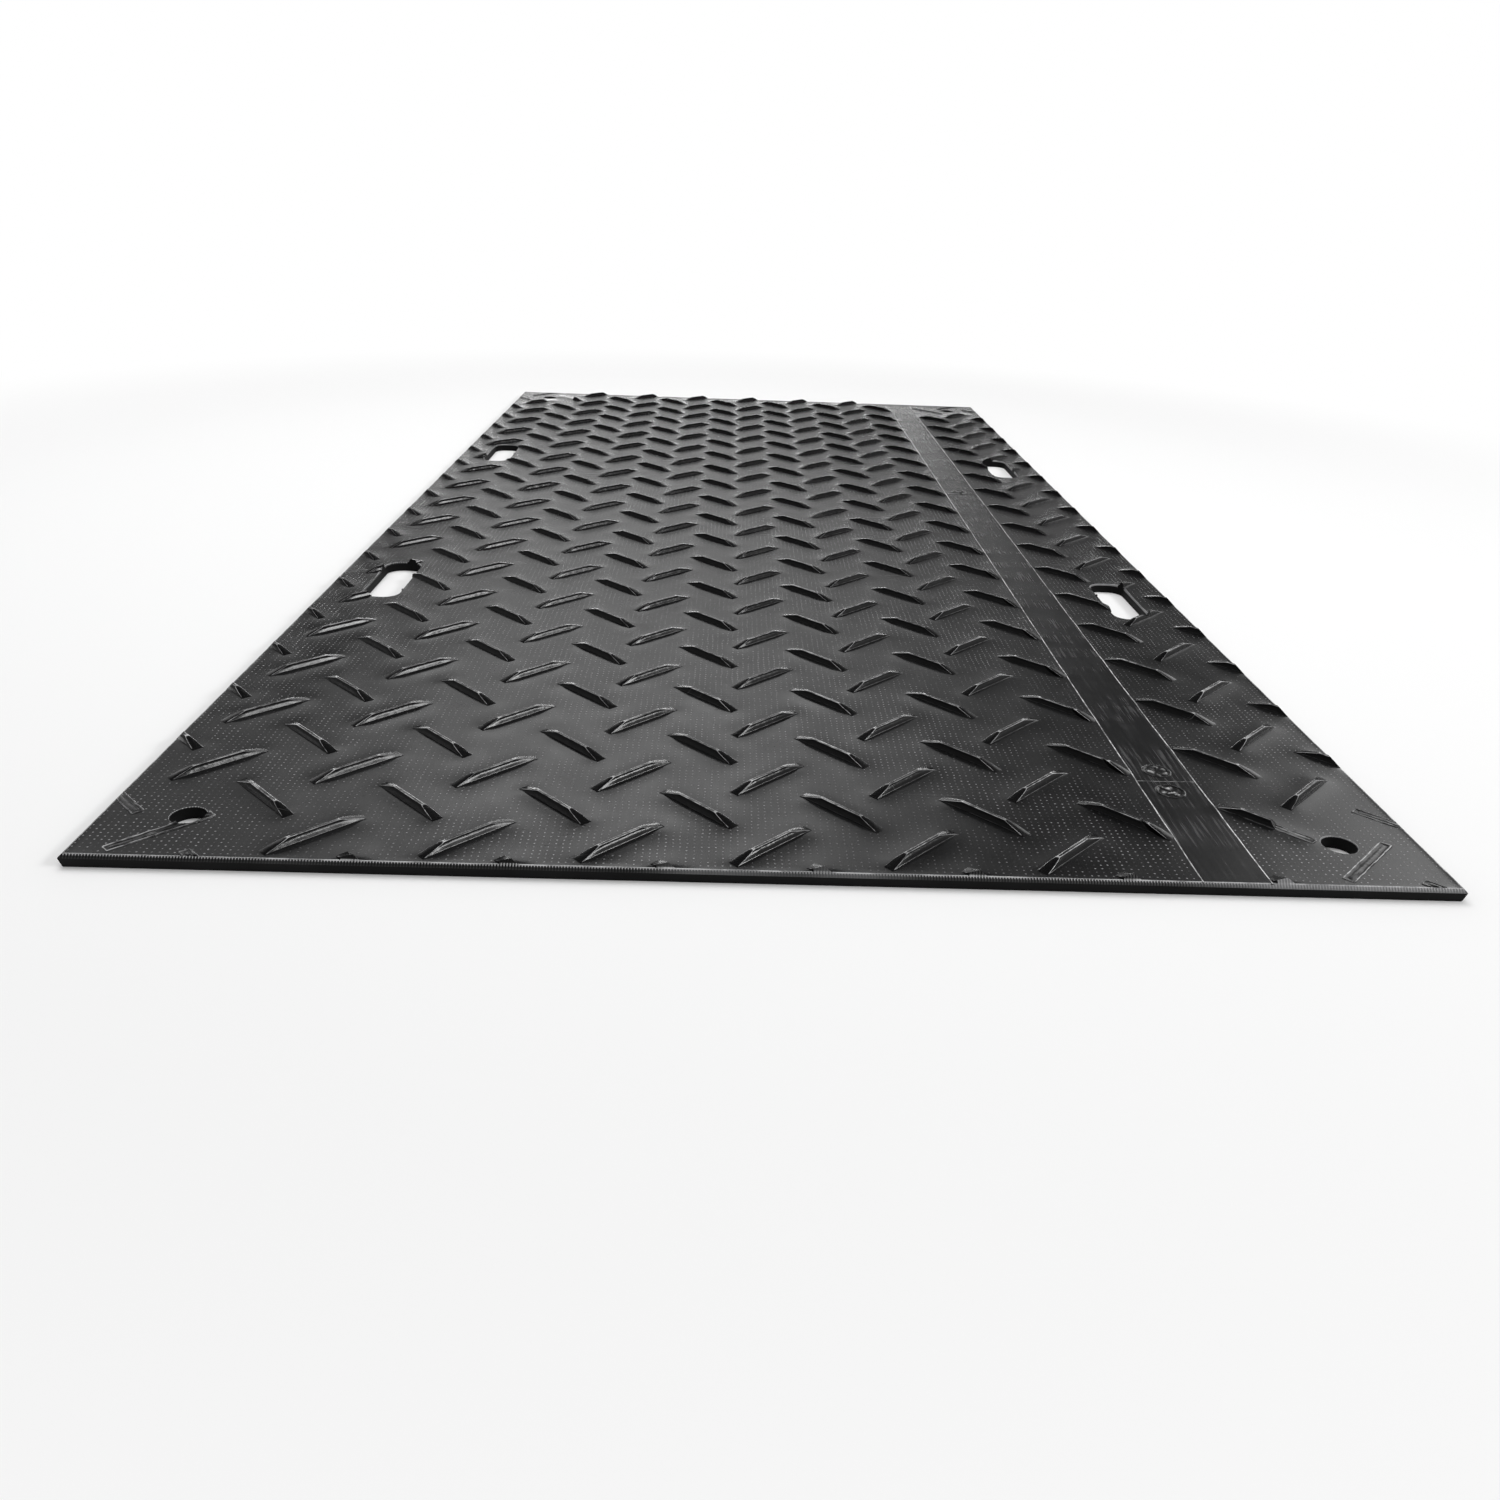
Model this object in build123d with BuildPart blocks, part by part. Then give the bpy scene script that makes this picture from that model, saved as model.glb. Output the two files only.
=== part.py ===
from build123d import *
import math
import os

# Ground protection mat: one sheet of black polyethylene moulded with its tread, lying flat with the tread up.
# Millimetres. The origin is the middle of the underside, X runs across the mat and Y along it.

# Sheet: its sawn edges lean in towards the underside, and a router has bevelled their top
mat_width = 1220.0
mat_length = 2440.0
sheet_thickness = 12.7
edge_bevel = 3.0
edge_undercut = 1.8

# Cleats: low bars with a narrow flat ridge, steep flanks and a long ramp at each end
cleat_length = 95.0
cleat_width = 10.5
cleat_height = 7.2
ridge_length = 48.0
ridge_width = 2.5
cleat_lean = 45.0

# Lattice of the cleats: those that lean right stand in the gaps between those that lean left
pitch_across = 135.5
pitch_along = 132.0
first_row = 45.0

# Smooth marking strip between two raised lines, in place of one column of right-leaning cleats
strip_column = 3
strip_width = 61.0
strip_line_width = 1.8
strip_line_height = 0.5
strip_margin_left = 8.0
strip_margin_right = 2.0

# Corner holes for stakes or connectors
hole_diameter = 32.0
hole_from_side = 80.0
hole_from_end = 75.0
hole_chamfer = 1.0

# Hand slots, two along each side
slot_width = 50.0
slot_length = 160.0
slot_corner_radius = 20.0
slot_from_side = 80.0
slot_spacing = 880.0
slot_chamfer = 2.0

# Reach of the flat pad round each corner hole: front left, front right, back left, back right
pad_radii = (30.0, 55.0, 66.0, 66.0)

# Derived sizes and places
bevel_foot = sheet_thickness - edge_bevel
tread_top = sheet_thickness + cleat_height
ramp_length = (cleat_length - ridge_length) / 2
cleat_reach = (cleat_length + cleat_width) / 2 * math.sin(math.radians(cleat_lean))
right_columns = int(mat_width // pitch_across)
left_columns = right_columns + 1
right_rows = 1 + int((mat_length - first_row + cleat_reach) // pitch_along)
left_rows = 1 + int((mat_length - first_row + pitch_along / 2 + cleat_reach) // pitch_along)
strip_centre = strip_column * pitch_across
strip_left = strip_centre - strip_width / 2
strip_right = strip_centre + strip_width / 2
hole_x = mat_width / 2 - hole_from_side
hole_y = mat_length / 2 - hole_from_end
slot_x = mat_width / 2 - slot_from_side
corners = [(-hole_x, -hole_y), (hole_x, -hole_y), (-hole_x, hole_y), (hole_x, hole_y)]

# Cleats pressed flat again at the corners, as (column, row) counted from the front left
flat_right_cleats = [
    (0, 0),
    (right_columns - 1, 0),
    (0, right_rows - 1),
    (right_columns - 1, right_rows - 1),
]
flat_left_cleats = [
    (1, 0),
    (left_columns - 1, 0),
    (0, 1),
    (left_columns - 1, 1),
    (0, left_rows - 1),
    (left_columns - 2, left_rows - 1),
    (left_columns - 1, left_rows - 1),
]


def cleat_places(columns, rows, row_start, lean, flat_cleats):
    """Places of the cleats of one lean, without the flattened ones and the column of the strip."""
    places = []
    for column in range(columns):
        x = (column - (columns - 1) / 2) * pitch_across
        if strip_left < x < strip_right:
            continue
        for row in range(rows):
            y = -mat_length / 2 + row_start + row * pitch_along
            if (column, row) not in flat_cleats:
                places.append(Location((x, y, sheet_thickness), (0, 0, lean)))
    return places


right_places = cleat_places(right_columns, right_rows, first_row, cleat_lean, flat_right_cleats)
left_places = cleat_places(left_columns, left_rows, first_row - pitch_along / 2, -cleat_lean, flat_left_cleats)

# Outline of the hand slots and corner holes, which are cut through sheet and cleats alike
with BuildSketch() as cut_outs:
    with GridLocations(2 * slot_x, slot_spacing, 2, 2):
        RectangleRounded(slot_width, slot_length, slot_corner_radius)
    with GridLocations(2 * hole_x, 2 * hole_y, 2, 2):
        Circle(hole_diameter / 2)

# One cleat along X with its foot at height 0, and a root as deep as the bevels that it may stand on
with BuildPart() as cleat:
    with BuildSketch(Plane.XZ):
        ramp_angle = math.degrees(math.atan2(cleat_height, ramp_length))
        Trapezoid(cleat_length, cleat_height, ramp_angle, align=(Align.CENTER, Align.MIN))
    extrude(amount=cleat_width / 2, both=True)
    with BuildSketch(Plane.YZ):
        flank_angle = math.degrees(math.atan2(cleat_height, (cleat_width - ridge_width) / 2))
        Trapezoid(cleat_width, cleat_height, flank_angle, align=(Align.CENTER, Align.MIN))
    extrude(amount=cleat_length / 2, both=True, mode=Mode.INTERSECT)
    with BuildSketch():
        Rectangle(cleat_length, cleat_width)
    extrude(amount=-max(edge_bevel, slot_chamfer))

# Space that cleats may fill: inside the bevel, and clear of the strip, the corner pads and the cut-outs
with BuildPart() as tread_space:
    with BuildSketch(Plane.XY.offset(bevel_foot)):
        Rectangle(mat_width, mat_length)
    extrude(amount=tread_top - bevel_foot, taper=45)
    with BuildSketch(Plane.XZ):
        valley_left = strip_left - strip_margin_left
        valley_right = strip_right + strip_margin_right
        valley_ramp = ramp_length * math.cos(math.radians(cleat_lean))
        Polygon(
            (valley_left, bevel_foot),
            (valley_right, bevel_foot),
            (valley_right, tread_top),
            (valley_left - valley_ramp, tread_top),
            (valley_left, sheet_thickness),
            align=None,
        )
    extrude(amount=mat_length / 2, both=True, mode=Mode.SUBTRACT)
    for corner, pad_radius in zip(corners, pad_radii):
        with BuildSketch(Plane.XY.offset(sheet_thickness)):
            with Locations(corner):
                Circle(pad_radius)
        extrude(amount=cleat_height, taper=-45, mode=Mode.SUBTRACT)
    extrude(cut_outs.sketch, amount=tread_top, mode=Mode.SUBTRACT)

with BuildPart() as tread:
    with Locations(*right_places, *left_places):
        add(cleat.part)
    add(tread_space.part, mode=Mode.INTERSECT)

with BuildPart() as tread_mat:
    # Sheet, widest at the foot of its bevel
    with BuildSketch(Plane.XY.offset(bevel_foot)):
        Rectangle(mat_width, mat_length)
    extrude(amount=-bevel_foot, taper=math.degrees(math.atan2(edge_undercut, bevel_foot)))
    with BuildSketch(Plane.XY.offset(bevel_foot)):
        Rectangle(mat_width, mat_length)
    extrude(amount=edge_bevel, taper=45)

    # Raised lines of the strip
    with BuildSketch(Plane.XY.offset(sheet_thickness)):
        with Locations((strip_left, 0), (strip_right, 0)):
            Rectangle(strip_line_width, mat_length - 2 * edge_bevel)
    extrude(amount=strip_line_height)

    # Hand slots and corner holes with their chamfers
    with BuildSketch(Plane.XY.offset(sheet_thickness)):
        with GridLocations(2 * slot_x, slot_spacing, 2, 2):
            RectangleRounded(
                slot_width + 2 * slot_chamfer, slot_length + 2 * slot_chamfer, slot_corner_radius + slot_chamfer
            )
    extrude(amount=-slot_chamfer, taper=45, mode=Mode.SUBTRACT)
    with BuildSketch(Plane.XY.offset(sheet_thickness)):
        with GridLocations(2 * hole_x, 2 * hole_y, 2, 2):
            Circle(hole_diameter / 2 + hole_chamfer)
    extrude(amount=-hole_chamfer, taper=45, mode=Mode.SUBTRACT)
    extrude(cut_outs.sketch, amount=sheet_thickness, mode=Mode.SUBTRACT)

    add(tread.part)

os.makedirs("parts", exist_ok=True)
tread_mat.part.label = "tread_mat"
export_step(tread_mat.part, "parts/tread_mat.step")
print("cleats:", len(right_places) + len(left_places), "faces:", len(tread_mat.faces()))
print("volume mm3:", round(tread_mat.part.volume), "size:", tread_mat.part.bounding_box().size)
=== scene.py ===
import math

import bpy
import numpy as np
from mathutils import Matrix, Vector, noise


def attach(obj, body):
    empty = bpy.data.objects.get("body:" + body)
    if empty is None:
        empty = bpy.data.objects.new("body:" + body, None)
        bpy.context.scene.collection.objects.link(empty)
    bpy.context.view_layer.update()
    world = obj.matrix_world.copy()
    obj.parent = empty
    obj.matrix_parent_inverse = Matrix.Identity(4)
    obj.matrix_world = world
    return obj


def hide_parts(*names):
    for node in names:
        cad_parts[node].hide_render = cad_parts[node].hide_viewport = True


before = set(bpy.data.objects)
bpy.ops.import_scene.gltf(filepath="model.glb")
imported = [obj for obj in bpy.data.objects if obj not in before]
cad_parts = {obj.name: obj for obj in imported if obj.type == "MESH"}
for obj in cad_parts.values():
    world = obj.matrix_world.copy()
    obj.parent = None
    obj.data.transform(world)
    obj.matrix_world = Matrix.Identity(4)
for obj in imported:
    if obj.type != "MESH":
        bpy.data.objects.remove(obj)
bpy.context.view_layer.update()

# The sheet: one piece of black high-density polyethylene, pressed hot in a mould together with its tread.
# Its skin is soft-looking and a little wavy, because the thick plastic shrinks round the feet of the cleats.
# A saw cuts it to size and a router bevels the top, so the edges are paler and ribbed, with a painted highlight at
# the lip.
mat_width = 1.220
mat_length = 2.440
sheet_thickness = 0.0127

# Lattice of the cleats, which the skin of the sheet rises to; one column gives way to the marking strip
pitch_across = 0.1355
pitch_along = 0.132
cleat_length = 0.095
right_columns, left_columns, rows = 9, 10, 19
strip_column = 7
right_start, left_start = 0.045, -0.021
lean_right, lean_left = math.radians(45), math.radians(-45)


def cleat_place(columns, row_start, column, row):
    """Middle of a cleat's foot, by its column and row counted from the front left."""
    x = (column - (columns - 1) / 2) * pitch_across
    y = -mat_length / 2 + row_start + row * pitch_along
    return Vector((x, y, 0))


def cleat_centres(columns, row_start, lean, flattened):
    """Centre, direction, column and row of every cleat of one lean, without the flattened ones."""
    centres = []
    for column in range(columns):
        if columns == right_columns and column == strip_column:
            continue
        for row in range(rows):
            if (column, row) not in flattened:
                centres.append((cleat_place(columns, row_start, column, row), lean, column, row))
    return centres


flat_right = {(0, 0), (8, 0), (0, 18), (8, 18)}
flat_left = {(1, 0), (9, 0), (0, 1), (9, 1), (0, 18), (8, 18), (9, 18)}
right_cleats = cleat_centres(right_columns, right_start, lean_right, flat_right)
left_cleats = cleat_centres(left_columns, left_start, lean_left, flat_left)

# The skin swells towards the cleats, climbs steeply at their feet and warps slowly in between
swell_height, swell_reach = 0.0008, 0.019
mean_nearness = 0.4
foot_climb, foot_reach = 0.0006, 0.0105
foot_window, foot_shoulder = 0.085, 0.012
warp_height, warp_size = 0.00045, 0.16
slow_seed, fine_seed = 3.1, 9.7
rim_fade = 0.02


def near_feet(x, y, reach):
    """How near a point lies to the foot of a cleat: 1 at the cleat's middle, falling to 0 with distance."""
    z = np.zeros_like(x)
    for centre, lean, column, row in right_cleats + left_cleats:
        near = (np.abs(x - centre.x) < foot_window) & (np.abs(y - centre.y) < foot_window)
        dx, dy = x[near] - centre.x, y[near] - centre.y
        along = dx * math.cos(lean) + dy * math.sin(lean)
        across = -dx * math.sin(lean) + dy * math.cos(lean)
        beyond = np.maximum(np.abs(along) - cleat_length / 2 + foot_shoulder, 0)
        z[near] += np.exp(-((np.hypot(beyond, across) / reach) ** 2))
    return z


def deck_swell(x, y):
    """Height of the skin above its mean, at points given by their x and y."""
    z = swell_height * (near_feet(x, y, swell_reach) - mean_nearness) + foot_climb * near_feet(x, y, foot_reach)
    slow = [noise.noise(Vector((a, b, slow_seed)) / warp_size) for a, b in zip(x, y)]
    fine = [noise.noise(Vector((a, b, fine_seed)) / (0.3 * warp_size)) for a, b in zip(x, y)]
    rim = np.minimum(mat_width / 2 - np.abs(x), mat_length / 2 - np.abs(y))
    fade = np.clip(rim / rim_fade, 0.25, 1)
    return (z + warp_height * (np.array(slow) + 0.22 * np.array(fine))) * fade


def mesh_object(name, vertices, faces, materials=()):
    """An object from points and faces, in metres, that carries the given materials."""
    mesh = bpy.data.meshes.new(name)
    mesh.from_pydata([tuple(v) for v in vertices], [], faces)
    mesh.update()
    for material in materials:
        mesh.materials.append(material)
    made = bpy.data.objects.new(name, mesh)
    bpy.context.scene.collection.objects.link(made)
    return made


def smooth_with_sharp_edges(piece, degrees):
    """Shades a piece smooth, apart from the edges that are sharper than the angle."""
    piece.data.polygons.foreach_set("use_smooth", [True] * len(piece.data.polygons))
    piece.data.set_sharp_from_angle(angle=math.radians(degrees))


def cut(piece, cutter, operation):
    """Cuts a piece with another solid, which stays for the next cut."""
    change = piece.modifiers.new("cut", "BOOLEAN")
    change.operation, change.object, change.solver = operation, cutter, "EXACT"
    depsgraph = bpy.context.evaluated_depsgraph_get()
    shaped = bpy.data.meshes.new_from_object(piece.evaluated_get(depsgraph))
    piece.modifiers.clear()
    piece.data = shaped


def put(tree, kind, inputs=None, **settings):
    """Adds a node and sets or links its inputs."""
    made = tree.nodes.new(kind)
    for name, value in settings.items():
        setattr(made, name, value)
    for name, value in (inputs or {}).items():
        if isinstance(value, bpy.types.NodeSocket):
            tree.links.new(value, made.inputs[name])
        else:
            made.inputs[name].default_value = value
    return made


def sum_up(tree, operation, *values):
    """One arithmetic node; gives its output."""
    return put(tree, "ShaderNodeMath", dict(enumerate(values)), operation=operation).outputs[0]


def vector_sum(tree, operation, *values):
    """One arithmetic node for vectors; gives its vector output."""
    return put(tree, "ShaderNodeVectorMath", dict(enumerate(values)), operation=operation).outputs[0]


def noise_at(tree, place, scale, detail, **more):
    """One noise node; gives its value."""
    inputs = {"Vector": place, "Scale": scale, "Detail": detail, **more}
    return put(tree, "ShaderNodeTexNoise", inputs).outputs["Fac"]


def spread(tree, value, low, high, to_low=0.0, to_high=1.0, curve="SMOOTHSTEP"):
    """Maps a value from one range to another; gives its output."""
    made = put(tree, "ShaderNodeMapRange", {"Value": value, "From Min": low, "From Max": high,
               "To Min": to_low, "To Max": to_high}, interpolation_type=curve)
    return made.outputs["Result"]


def new_group(name, inputs, outputs):
    """An empty shader node group with named number sockets, and its two ends."""
    group = bpy.data.node_groups.new(name, "ShaderNodeTree")
    for label, value in inputs.items():
        socket = group.interface.new_socket(name=label, in_out="INPUT", socket_type="NodeSocketFloat")
        socket.default_value = value
    for label in outputs:
        group.interface.new_socket(name=label, in_out="OUTPUT", socket_type="NodeSocketFloat")
    return group, group.nodes.new("NodeGroupInput"), group.nodes.new("NodeGroupOutput")


def place_group(tree, group, values=None):
    """Places a shader node group in a material with its own values."""
    return put(tree, "ShaderNodeGroup", values, node_tree=group)


# Nibs: the mould's skin is covered with fine pimples on a square net, with the same number from cleat to cleat
nibs_per_pitch = 21
nib_pitch = (pitch_across / nibs_per_pitch, pitch_along / nibs_per_pitch, 1.0)
nibs, ends_in, ends_out = new_group("nib_net", {"Height": 0.00012, "Radius": 0.0012}, ["Height", "Nib"])
place = put(nibs, "ShaderNodeTexCoord").outputs["Object"]
stray = put(nibs, "ShaderNodeTexNoise", {"Vector": place, "Scale": 70.0, "Detail": 0.0}).outputs["Color"]
stray = vector_sum(nibs, "MULTIPLY", stray, (0.0022, 0.0022, 0.0))
strayed = vector_sum(nibs, "ADD", place, stray)
cell = vector_sum(nibs, "DIVIDE", strayed, nib_pitch)
cell = vector_sum(nibs, "FRACTION", cell)
cell = vector_sum(nibs, "SUBTRACT", cell, (0.5, 0.5, 0.5))
cell = vector_sum(nibs, "MULTIPLY", cell, (*nib_pitch[:2], 0.0))
away = put(nibs, "ShaderNodeVectorMath", {0: cell}, operation="LENGTH").outputs["Value"]
share = sum_up(nibs, "DIVIDE", away, ends_in.outputs["Radius"])
fullness = spread(nibs, noise_at(nibs, place, 110.0, 1.0), 0.38, 0.60, 0.15, 1.0)
nib = sum_up(nibs, "MULTIPLY", spread(nibs, share, 1.0, 0.25), fullness)
pressed = spread(nibs, noise_at(nibs, place, 4.5, 1.0), 0.36, 0.62, 0.35, 1.0)
nib = sum_up(nibs, "MULTIPLY", nib, pressed)
nibs.links.new(sum_up(nibs, "MULTIPLY", nib, ends_in.outputs["Height"]), ends_out.inputs["Height"])
nibs.links.new(nib, ends_out.inputs["Nib"])

# Skin: fine orange-peel grain, slow unevenness and tiny pits, as hot-pressed plastic has
pit_depth = 0.00006
skin, ends_in, ends_out = new_group("pressed_skin", {"Grain": 0.00003, "Scale": 400.0}, ["Height", "Mottle"])
place = put(skin, "ShaderNodeTexCoord").outputs["Object"]
grain = noise_at(skin, place, ends_in.outputs["Scale"], 3.0)
uneven = noise_at(skin, place, 14.0, 4.0, Roughness=0.6)
specks = put(skin, "ShaderNodeTexVoronoi", {"Vector": place, "Scale": 120.0}).outputs["Distance"]
chosen = noise_at(skin, place, 31.0, 2.0)
pit = sum_up(skin, "MULTIPLY", spread(skin, specks, 0.28, 0.12), spread(skin, chosen, 0.60, 0.68))
height = sum_up(skin, "MULTIPLY", grain, ends_in.outputs["Grain"])
height = sum_up(skin, "SUBTRACT", height, sum_up(skin, "MULTIPLY", pit, pit_depth))
skin.links.new(height, ends_out.inputs["Height"])
skin.links.new(spread(skin, uneven, 0.3, 0.7, curve="LINEAR"), ends_out.inputs["Mottle"])

# Scuffs: thin scratches in two directions, broken up, where mats have slid over each other
scuffs, ends_in, ends_out = new_group("slide_scuffs", {"Amount": 0.5}, ["Mask"])
place = put(scuffs, "ShaderNodeTexCoord").outputs["Object"]
streaks = []
for turn, seed in ((0.35, 0.0), (-0.9, 4.0)):
    turned = put(scuffs, "ShaderNodeMapping", {"Vector": place, "Rotation": (0, 0, turn),
                 "Location": (seed, seed, 0), "Scale": (6.0, 420.0, 1.0)}).outputs[0]
    streaks.append(spread(scuffs, noise_at(scuffs, turned, 1.0, 2.0), 0.68, 0.74))
scuffed = spread(scuffs, noise_at(scuffs, place, 7.0, 2.0), 0.55, 0.70)
mask = sum_up(scuffs, "MULTIPLY", sum_up(scuffs, "MAXIMUM", *streaks), scuffed)
scuffs.links.new(sum_up(scuffs, "MULTIPLY", mask, ends_in.outputs["Amount"]), ends_out.inputs["Mask"])


def new_material(name, specular=0.5):
    """A plastic material with its node tree and its shader."""
    material = bpy.data.materials.new(name)
    material.use_nodes = True
    tree = material.node_tree
    shader = tree.nodes["Principled BSDF"]
    shader.inputs["IOR"].default_value = 1.5
    shader.inputs["Specular IOR Level"].default_value = specular
    return material, tree, shader


def mix_colours(tree, share, first, second):
    """Mixes two colours, of which the second shows where the share is 1."""
    return put(tree, "ShaderNodeMix", {0: share, 6: first, 7: second}, data_type="RGBA").outputs[2]


def raise_surface(tree, shader, height):
    """Feeds a height in metres to a shader as its fine relief."""
    bump = put(tree, "ShaderNodeBump", {"Height": height, "Distance": 1.0, "Strength": 1.0})
    tree.links.new(bump.outputs[0], shader.inputs["Normal"])


# Deck skin: black with nib tops painted pale as glints (painted highlight), left out at the feet of the cleats
deck_black, nib_glint_grey = (0.0050, 0.0050, 0.0052, 1), (0.28, 0.28, 0.285, 1)
deck_skin, tree, shader = new_material("black_deck_skin")
peel = place_group(tree, skin, {"Grain": 0.00003, "Scale": 420.0})
pimples = place_group(tree, nibs)
marks = place_group(tree, scuffs, {"Amount": 0.5})
at_foot = put(tree, "ShaderNodeAttribute", attribute_name="foot", attribute_type="GEOMETRY").outputs["Fac"]
netted = sum_up(tree, "SUBTRACT", 1.0, at_foot)
nib = sum_up(tree, "MULTIPLY", pimples.outputs["Nib"], netted)
pale_share = sum_up(tree, "MULTIPLY", peel.outputs["Mottle"], 0.03)
pale_share = sum_up(tree, "MAXIMUM", pale_share, sum_up(tree, "MULTIPLY", marks.outputs["Mask"], 0.2))
# The nib share paints a highlight on each nib top; the mottle and the scuffs are the skin's own dust and wear
pale_share = sum_up(tree, "MAXIMUM", pale_share, nib)
tree.links.new(mix_colours(tree, pale_share, deck_black, nib_glint_grey), shader.inputs["Base Color"])
rough = spread(tree, peel.outputs["Mottle"], 0, 1, 0.19, 0.28, "LINEAR")
rough = sum_up(tree, "ADD", rough, sum_up(tree, "MULTIPLY", marks.outputs["Mask"], 0.12))
rough = sum_up(tree, "SUBTRACT", rough, sum_up(tree, "MULTIPLY", nib, 0.10))
tree.links.new(rough, shader.inputs["Roughness"])
height = sum_up(tree, "MULTIPLY", pimples.outputs["Height"], netted)
height = sum_up(tree, "ADD", height, peel.outputs["Height"])
raise_surface(tree, shader, height)

# Strip skin: smoother, with drawn streaks along the strip and slow bands across it
strip_black, streak_grey = (0.0045, 0.0045, 0.0047, 1), (0.11, 0.11, 0.112, 1)
strip_skin, tree, shader = new_material("black_strip_skin", 0.4)
peel = place_group(tree, skin, {"Grain": 0.00002, "Scale": 300.0})
marks = place_group(tree, scuffs, {"Amount": 0.5})
place = put(tree, "ShaderNodeTexCoord").outputs["Object"]
drawn = put(tree, "ShaderNodeMapping", {"Vector": place, "Scale": (330.0, 14.0, 1.0)}).outputs[0]
drawn = spread(tree, noise_at(tree, drawn, 1.0, 3.0), 0.45, 0.75)
bands = put(tree, "ShaderNodeMapping", {"Vector": place, "Scale": (4.0, 26.0, 1.0)}).outputs[0]
bands = noise_at(tree, bands, 1.0, 2.0)
smear = sum_up(tree, "MULTIPLY", drawn, spread(tree, bands, 0.40, 0.65, 0.15, 1.0))
scratched = sum_up(tree, "MULTIPLY", marks.outputs["Mask"], 0.4)
pale_share = sum_up(tree, "MAXIMUM", sum_up(tree, "MULTIPLY", smear, 0.55), scratched)
tree.links.new(mix_colours(tree, pale_share, strip_black, streak_grey), shader.inputs["Base Color"])
tree.links.new(spread(tree, smear, 0, 1, 0.22, 0.38, "LINEAR"), shader.inputs["Roughness"])
height = sum_up(tree, "ADD", peel.outputs["Height"], sum_up(tree, "MULTIPLY", bands, 0.00045))
raise_surface(tree, shader, height)

# Routed edge: ribbed by the cutter, dull towards the right, paler round the corner holes, painted highlights at
# its upper lip
hole_x, hole_y, hole_radius = 0.530, 1.145, 0.016
rib_pitch = 0.0026
cut_black, dull_grey, lip_highlight_pale = (0.006, 0.006, 0.0062, 1), (0.22, 0.22, 0.225, 1), (0.50, 0.50, 0.505, 1)
milled_edge, tree, shader = new_material("routed_edge")
peel = place_group(tree, skin, {"Grain": 0.00004, "Scale": 600.0})
place = put(tree, "ShaderNodeTexCoord").outputs["Object"]
parts = put(tree, "ShaderNodeSeparateXYZ", {0: place})
normal = put(tree, "ShaderNodeNewGeometry").outputs["True Normal"]
facing = put(tree, "ShaderNodeSeparateXYZ", {0: normal})
on_end = spread(tree, sum_up(tree, "ABSOLUTE", facing.outputs["Y"]), 0.3, 0.5)
run = put(tree, "ShaderNodeMix", {0: on_end, 2: parts.outputs["Y"], 3: parts.outputs["X"]}).outputs[0]
run = sum_up(tree, "ADD", run, sum_up(tree, "MULTIPLY", noise_at(tree, place, 30.0, 2.0), 0.0006))
chatter = sum_up(tree, "SINE", sum_up(tree, "MULTIPLY", run, 2 * math.pi / rib_pitch))
bite = noise_at(tree, place, 2.6, 2.0)
bite = sum_up(tree, "ADD", bite, sum_up(tree, "MULTIPLY", parts.outputs["X"], 0.25))
dull = spread(tree, bite, 0.48, 0.62)
# Painted highlight: the upper lip and the rib crests just below it are painted pale where they would catch the
# light, the ribs mostly on the left
below_top = spread(tree, parts.outputs["Z"], sheet_thickness + 0.0011, sheet_thickness + 0.0006)
lip_ticks = spread(tree, parts.outputs["Z"], sheet_thickness - 0.0015, sheet_thickness - 0.0008, 0.06, 1.0)
rib_highlights = sum_up(tree, "MULTIPLY", spread(tree, chatter, 0.2, 0.95), lip_ticks)
rib_highlights = sum_up(tree, "MULTIPLY", rib_highlights, spread(tree, dull, 0, 1, 0.8, 0.08, "LINEAR"))
rib_highlights = sum_up(tree, "MULTIPLY", rib_highlights, below_top)
pale = sum_up(tree, "MULTIPLY", dull, spread(tree, peel.outputs["Mottle"], 0, 1, 0.50, 0.75))
from_hole = put(tree, "ShaderNodeVectorMath", {0: vector_sum(tree, "ABSOLUTE", place),
                1: (hole_x, hole_y, sheet_thickness)}, operation="DISTANCE").outputs["Value"]
pale = sum_up(tree, "MAXIMUM", pale, spread(tree, from_hole, 0.024, 0.019, 0.0, 0.45))
lip = spread(tree, parts.outputs["Z"], sheet_thickness - 0.0006, sheet_thickness - 0.0002)
lip = sum_up(tree, "MULTIPLY", lip, below_top)
lip_breakup = spread(tree, noise_at(tree, place, 45.0, 4.0), 0.42, 0.62, 0.10, 0.8)
lip_highlight = sum_up(tree, "MAXIMUM", sum_up(tree, "MULTIPLY", lip, lip_breakup), rib_highlights)
colour = mix_colours(tree, lip_highlight, mix_colours(tree, pale, cut_black, dull_grey), lip_highlight_pale)
tree.links.new(colour, shader.inputs["Base Color"])
tree.links.new(spread(tree, peel.outputs["Mottle"], 0, 1, 0.38, 0.5, "LINEAR"), shader.inputs["Roughness"])
height = sum_up(tree, "ADD", peel.outputs["Height"], sum_up(tree, "MULTIPLY", chatter, 0.00010))
raise_surface(tree, shader, height)

# Sawn edge: dull black with fine level lines; the underside has the same finish
saw_dark, saw_light = (0.0030, 0.0030, 0.0031, 1), (0.0070, 0.0070, 0.0072, 1)
sawn_edge, tree, shader = new_material("sawn_edge", 0.1)
peel = place_group(tree, skin, {"Grain": 0.00006, "Scale": 500.0})
place = put(tree, "ShaderNodeTexCoord").outputs["Object"]
saw = put(tree, "ShaderNodeMapping", {"Vector": place, "Scale": (25.0, 25.0, 900.0)}).outputs[0]
saw = noise_at(tree, saw, 1.0, 3.0)
colour = mix_colours(tree, peel.outputs["Mottle"], saw_dark, saw_light)
tree.links.new(colour, shader.inputs["Base Color"])
shader.inputs["Roughness"].default_value = 0.65
height = sum_up(tree, "ADD", peel.outputs["Height"], sum_up(tree, "MULTIPLY", saw, 0.00012))
raise_surface(tree, shader, height)

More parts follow.
